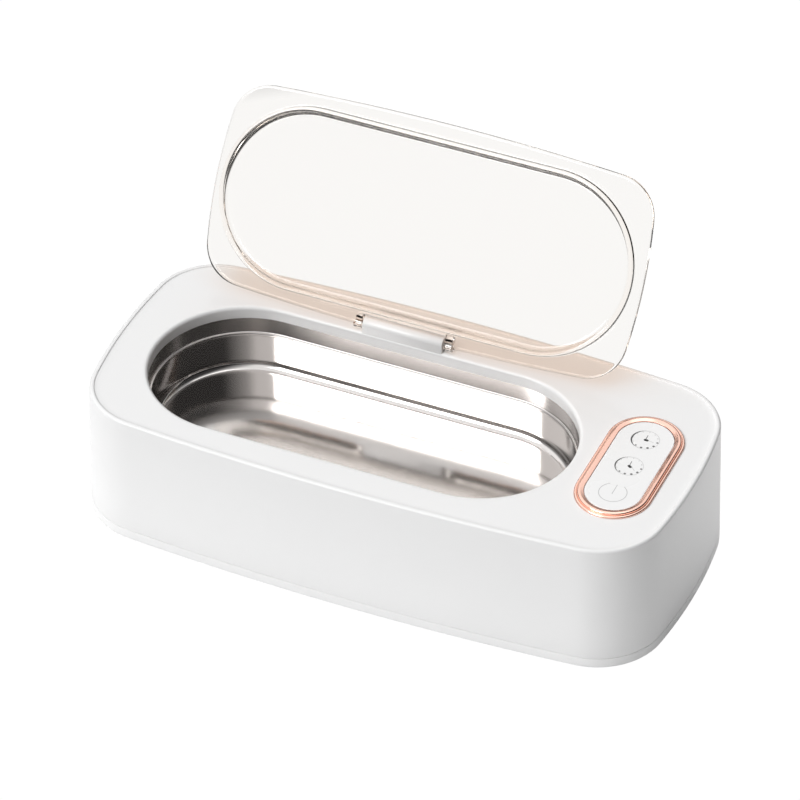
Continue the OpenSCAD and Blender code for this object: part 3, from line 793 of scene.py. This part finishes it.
def make_lid():
    """Clear plate with a soft edge, a round rib below it and two lugs."""
    b = Builder(OPEN)
    shape = lid_outline()
    soft = 0.7
    flat = soft + 0.2
    low, high = LID_Z, LID_Z + LID_T
    edge = quarter_arc((soft, low), (0, low + soft), (0, low), 5)
    edge += quarter_arc((0, high - soft), (soft, high), (0, high), 5)
    rings = [b.ring(offset(shape, -i), z, LID_C.xy) for i, z in edge]
    b.loft(rings)
    top = b.ring(offset(shape, -flat), high, LID_C.xy)
    b.bridge(rings[-1], top)
    b.cap(top)
    bottom = b.ring(offset(shape, -flat), low, LID_C.xy)
    b.bridge(rings[0], bottom)

    tip = LID_Z - RIB_H
    rib_in = RIB_R - RIB_T
    root, tip_edge, foot = 0.4, 0.87, 1.3
    rib = [(RIB_R + root + 0.1, low)]
    rib += quarter_arc((RIB_R + root, low), (RIB_R, low - root), (RIB_R, low), 6)
    rib += quarter_arc((RIB_R, tip + tip_edge), (RIB_R - tip_edge, tip), (RIB_R, tip), 6)
    rib += quarter_arc((rib_in + tip_edge, tip), (rib_in, tip + tip_edge), (rib_in, tip), 6)
    rib += quarter_arc((rib_in, low - foot), (rib_in - foot, low), (rib_in, low), 6)
    rib.append((rib_in - foot - 0.3, low))
    rib = [b.ring(stadium(RIB_HALF, r, 48), z, RIB_C) for r, z in rib]
    b.loft(rib)
    b.cap(bottom, rib[0])
    b.cap(rib[-1])
    plate = combined(b.finish("lid_plate"), [make_lug(s) for s in (-1, 1)], "UNION", 35)
    return dress(plate, "lid", "clear_lid", LOOKS["clear_lid"], "lid")


def make_lug(s):
    """Barrel with its web, bored for the pin, on the side s of the block."""
    lug_r, web, bore_r, soft = 2.1, 3.62, 0.85, 0.25
    barrel = [lug_r * along(math.radians(a)) for a in range(-60, 175, 12)]
    low = LID_Z - HINGE.z
    profile = [Vector((-web, low)), Vector((lug_r * 0.2, low))] + barrel + [Vector((-web, low + LID_T))]
    inner = BLOCK_L / 2 + LUG_GAP
    b = Builder(OPEN)
    made = []
    for x, inset in [(inner, soft), (inner + soft, 0), (inner + LUG_W + 0.3, 0)]:
        loops = (offset(profile, -inset), circle(bore_r, 24))
        made.append([b.points([(HINGE.x + s * x, HINGE.y + p.x, HINGE.z + p.y) for p in loop])
                     for loop in loops])
    for loops in zip(*made):
        b.loft(loops)
    b.cap(*made[0], axes="yzx")
    b.cap(*made[-1], axes="yzx")
    return b.finish("lug")


make_lid()


# ---------------------------------------------------------------------------------------------
# Stage, light and camera
# ---------------------------------------------------------------------------------------------

def make_floor():
    """White sheet that ends in a dark studio floor a little way from the part.

    The camera sees it overexposed. The part is lit by the sheet, and by a glow beside its right
    end. Through the clear lid the sheet is white, and the floor far behind is dark.
    """
    mesh = bpy.data.meshes.new("floor")
    half = 6.0
    corners_at = [(-half, -half, 0), (half, -half, 0), (half, half, 0), (-half, half, 0)]
    mesh.from_pydata(corners_at, [], [(0, 1, 2, 3)])
    floor = bpy.data.objects.new("floor", mesh)
    bpy.context.scene.collection.objects.link(floor)
    m = material("floor_white", (0.90, 0.90, 0.90), 0.9, grain=60, bump=0.0, tone=0.003,
                 Specular_IOR_Level=0.0)
    tree = m.node_tree
    nodes, links = tree.nodes, tree.links
    way, place = nodes.new("ShaderNodeLightPath"), nodes.new("ShaderNodeNewGeometry")
    position = place.outputs["Position"]
    split = nodes.new("ShaderNodeSeparateXYZ")
    links.new(position, split.inputs["Vector"])

    def distance_from(point):
        away = nodes.new("ShaderNodeVectorMath")
        away.operation = "DISTANCE"
        away.inputs[1].default_value = point
        links.new(position, away.inputs[0])
        return away.outputs["Value"]

    def glow(color):
        e = nodes.new("ShaderNodeEmission")
        e.inputs["Color"].default_value = (*color, 1)
        e.inputs["Strength"].default_value = 1
        return e

    dark = nodes.new("ShaderNodeBsdfDiffuse")
    dark.inputs["Color"].default_value = (0.04, 0.04, 0.04, 1)
    dark = dark.outputs["BSDF"]
    away = distance_from((0, 0, 0))

    patch = glow((1, 1, 1))
    fading = ranged(tree, distance_from((0.138, 0.055, 0)), 0.03, 0.085, 0.38, 0.0)
    links.new(fading, patch.inputs["Strength"])
    sheet = nodes.new("ShaderNodeAddShader")
    links.new(nodes["Principled BSDF"].outputs["BSDF"], sheet.inputs[0])
    links.new(patch.outputs["Emission"], sheet.inputs[1])
    lit = mixed(tree, ranged(tree, away, 0.34, 0.42), sheet.outputs["Shader"], dark)

    behind = ranged(tree, split.outputs["Y"], -0.08, 0.02)
    far = calculated(tree, "MULTIPLY", ranged(tree, away, 0.235, 0.28), behind)
    through = mixed(tree, far, glow((1.007, 1.022, 1.031)).outputs["Emission"], dark)

    surface = mixed(tree, way.outputs["Is Transmission Ray"], lit, through)
    seen = glow((1.02, 1.02, 1.02)).outputs["Emission"]
    surface = mixed(tree, way.outputs["Is Camera Ray"], surface, seen)
    links.new(surface, nodes["Material Output"].inputs["Surface"])
    mesh.materials.append(m)


def make_world():
    """Soft white room: light to the left and above, dark to the right and low down."""
    world = bpy.data.worlds.new("studio")
    bpy.context.scene.world = world
    world.use_nodes = True
    tree = world.node_tree
    nodes, links = tree.nodes, tree.links
    background = nodes["Background"]
    way = nodes.new("ShaderNodeTexCoord")
    split = nodes.new("ShaderNodeSeparateXYZ")
    links.new(way.outputs["Generated"], split.inputs["Vector"])

    def ramp(axis, *stops):
        """Brightness by one part of the direction, as stops of (value from -1 to 1, brightness)."""
        scale = nodes.new("ShaderNodeValToRGB")
        elements = scale.color_ramp.elements
        while len(elements) < len(stops):
            elements.new(0.5)
        for element, (position, value) in zip(elements, stops):
            element.position = position / 2 + 0.5
            element.color = (value, value, value, 1)
        links.new(ranged(tree, split.outputs[axis], -1, 1), scale.inputs["Fac"])
        return scale.outputs["Color"]

    def product(first, second):
        both = nodes.new("ShaderNodeMix")
        both.data_type, both.blend_type = "RGBA", "MULTIPLY"
        both.inputs["Factor"].default_value = 1
        links.new(first, both.inputs["A"])
        links.new(second, both.inputs["B"])
        return both.outputs["Result"]

    aside = ramp("X", (-0.9, 1.0), (0.15, 0.8), (0.3, 0.4), (0.6, 0.04))
    behind = ramp("Y", (0.2, 1.0), (0.5, 0.95), (0.75, 0.9))
    above = ramp("Z", (0.05, 0.1), (0.38, 0.3), (0.6, 1.0))
    links.new(product(product(aside, behind), above), background.inputs["Color"])
    background.inputs["Strength"].default_value = 1.39


def area_light(name, position, size, watts):
    """Rectangular light in metres and watts, aimed at the middle of the part."""
    target = Vector((0, 0, 0.03))
    data = bpy.data.lights.new(name, "AREA")
    data.shape = "RECTANGLE"
    data.size, data.size_y = size
    data.energy = watts
    light = bpy.data.objects.new(name, data)
    light.location = position
    light.rotation_mode = "QUATERNION"
    light.rotation_quaternion = (target - Vector(position)).to_track_quat("-Z", "Y")
    bpy.context.scene.collection.objects.link(light)


def make_camera():
    """Long lens from the front right, above.

    It stands at a distance from the foot of the body, which lies to the right of and below the
    lens axis by the offsets aside and below.
    """
    azimuth, elevation, roll = (math.radians(a) for a in (23.523, 39.455, -0.207))
    distance, lens, aside, below = 2010.4, 267.96, 1.406, -39.462
    flat = math.cos(elevation)
    back = Vector((math.sin(azimuth) * flat, -math.cos(azimuth) * flat, math.sin(elevation)))
    level = (-back).cross(Vector((0, 0, 1))).normalized()
    upright = level.cross(-back)
    right = level * math.cos(roll) + upright * math.sin(roll)
    up = upright * math.cos(roll) - level * math.sin(roll)
    foot = Vector((BODY_C.x, BODY_C.y, base_lo.z))
    eye = foot - aside * right - below * up + distance * back
    data = bpy.data.cameras.new("camera")
    data.sensor_width, data.lens = 36, lens
    data.clip_start, data.clip_end = 0.05, 50
    camera = bpy.data.objects.new("camera", data)
    turn = Matrix((right, up, back)).transposed().to_4x4()
    camera.matrix_world = Matrix.Translation(eye * MM) @ turn
    bpy.context.scene.collection.objects.link(camera)
    bpy.context.scene.camera = camera


make_floor()
make_world()
area_light("key", (-2.2, -3.4, 3.4), (3.0, 2.6), 147)
area_light("top", (0.3, 1.0, 4.4), (2.6, 2.0), 12)
make_camera()
bpy.context.scene.view_settings.view_transform = "Standard"
